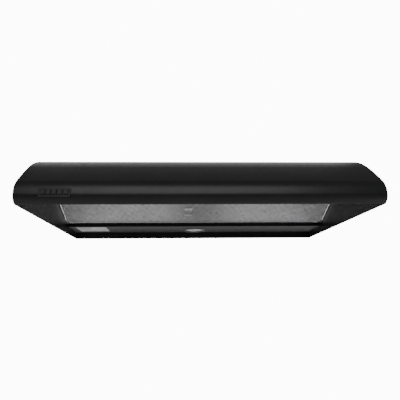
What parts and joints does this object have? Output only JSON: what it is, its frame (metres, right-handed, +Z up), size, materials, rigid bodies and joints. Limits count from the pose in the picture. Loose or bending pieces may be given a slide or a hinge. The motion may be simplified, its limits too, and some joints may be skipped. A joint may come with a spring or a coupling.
{
  "type": "under cabinet range hood",
  "caption": "Slim under cabinet range hood with a curved nose, a sloping full-width mesh filter, a rear lamp panel, push buttons, a twin-wheel blower and a rectangular duct collar.",
  "frame": {"origin": "centre of the four cabinet-screw keyholes, on the top face", "axes": "+X across the width to the right as seen from the cook, +Y to the wall, +Z up"},
  "size_m": [0.759, 0.4612, 0.184],
  "materials": {
    "hood_paint": "satin black powder coat",
    "label_foil": "matt silver foil",
    "lamp_trim": "satin dark",
    "lamp_glass": "frosted",
    "polished_aluminium": "polished",
    "ceramic": "glazed ceramic",
    "spring_steel": "bright",
    "filter_aluminium": "bright mill",
    "filter_mesh_aluminium": "expanded mesh",
    "tab_steel": "satin",
    "rivet_aluminium": "bright",
    "galvanised": "galvanised",
    "wheel_plastic": "moulded",
    "black_screw": "black oxide",
    "shaft_steel": "ground",
    "lamination_steel": "laminated",
    "copper_varnish": "varnished copper",
    "motor_paint": "satin black",
    "bronze": "sintered bronze",
    "capacitor_can": "moulded",
    "control_plastic": "fine texture",
    "button_plastic": "satin",
    "switch_nylon": "moulded",
    "brass_blade": "plain",
    "terminal_nylon": "moulded",
    "ground_green": "zinc green",
    "lead_jacket": "pvc jacket",
    "grommet_rubber": "matt",
    "clip_nylon": "nylon",
    "zinc_screw": "zinc plated"
  },
  "bodies": {
    "hood": {"hood_shell": "hood_paint", "top_panel": "hood_paint", "left_end_panel": "hood_paint", "right_end_panel": "hood_paint", "back_panel": "hood_paint", "lamp_panel": "hood_paint", "rating_label": "label_foil", "lamp_trim": "lamp_trim", "lamp_lens": "lamp_glass", "lamp_reflector": "polished_aluminium", "lamp_holder": "ceramic", "lamp_bulb": "lamp_glass", "lamp_clips": "spring_steel", "filter_channel": "galvanised", "filter_seat": "hood_paint", "blower_scroll": "galvanised", "blower_side_left": "galvanised", "blower_side_right": "galvanised", "motor_stator": "lamination_steel", "motor_windings": "copper_varnish", "motor_shell": "motor_paint", "motor_end_right": "motor_paint", "motor_end_left": "motor_paint", "shaft_bearings": "bronze", "motor_bracket": "galvanised", "capacitor": "capacitor_can", "capacitor_strap": "galvanised", "duct_collar": "galvanised", "damper_rod": "shaft_steel", "control_bezel": "control_plastic", "switch_body": "switch_nylon", "switch_terminals": "brass_blade", "switch_cover": "galvanised", "switch_bracket": "galvanised", "wiring_box": "galvanised", "wiring_box_cover": "galvanised", "terminal_block": "terminal_nylon", "ground_screw": "ground_green", "switch_lead": "lead_jacket", "motor_lead": "lead_jacket", "lamp_lead": "lead_jacket", "lead_grommets": "grommet_rubber", "lead_clips": "clip_nylon", "sheet_screws": "zinc_screw"},
    "blower_rotor": {"right_blower_wheel": "wheel_plastic", "left_blower_wheel": "wheel_plastic", "wheel_set_screws": "black_screw", "motor_shaft": "shaft_steel", "motor_rotor": "lamination_steel"},
    "damper": {"damper_flap": "galvanised"},
    "filter": {"filter_frame": "filter_aluminium", "filter_mesh": "filter_mesh_aluminium", "filter_tab": "tab_steel", "filter_tab_rivets": "rivet_aluminium"},
    "light_button": {"light_button": "button_plastic"},
    "off_button": {"off_button": "button_plastic"},
    "speed_1_button": {"speed_1_button": "button_plastic"},
    "speed_2_button": {"speed_2_button": "button_plastic"},
    "speed_3_button": {"speed_3_button": "button_plastic"}
  },
  "joints": [
    {"name": "blower_spin", "type": "hinge", "parent": "hood", "child": "blower_rotor", "pos_m": [0, 0.057, -0.049], "axis": [1, 0, 0], "continuous": true},
    {"name": "damper_swing", "type": "hinge", "parent": "hood", "child": "damper", "pos_m": [0, 0.112, 0.012], "axis": [-1, 0, 0], "range_deg": [0, 78]},
    {"name": "filter_slide", "type": "slide", "parent": "hood", "child": "filter", "axis": [0, -0.8829, 0.4695], "range_m": [0, 0.034]},
    {"name": "light_press", "type": "slide", "parent": "hood", "child": "light_button", "axis": [0, 1, 0], "range_m": [0, 0.0025], "stiffness_N_per_m": 400, "springref_m": -0.001},
    {"name": "off_press", "type": "slide", "parent": "hood", "child": "off_button", "axis": [0, 1, 0], "range_m": [0, 0.0025], "stiffness_N_per_m": 400, "springref_m": -0.001},
    {"name": "speed_1_press", "type": "slide", "parent": "hood", "child": "speed_1_button", "axis": [0, 1, 0], "range_m": [0, 0.0025], "stiffness_N_per_m": 400, "springref_m": -0.001},
    {"name": "speed_2_press", "type": "slide", "parent": "hood", "child": "speed_2_button", "axis": [0, 1, 0], "range_m": [0, 0.0025], "stiffness_N_per_m": 400, "springref_m": -0.001},
    {"name": "speed_3_press", "type": "slide", "parent": "hood", "child": "speed_3_button", "axis": [0, 1, 0], "range_m": [0, 0.0025], "stiffness_N_per_m": 400, "springref_m": -0.001}
  ]
}
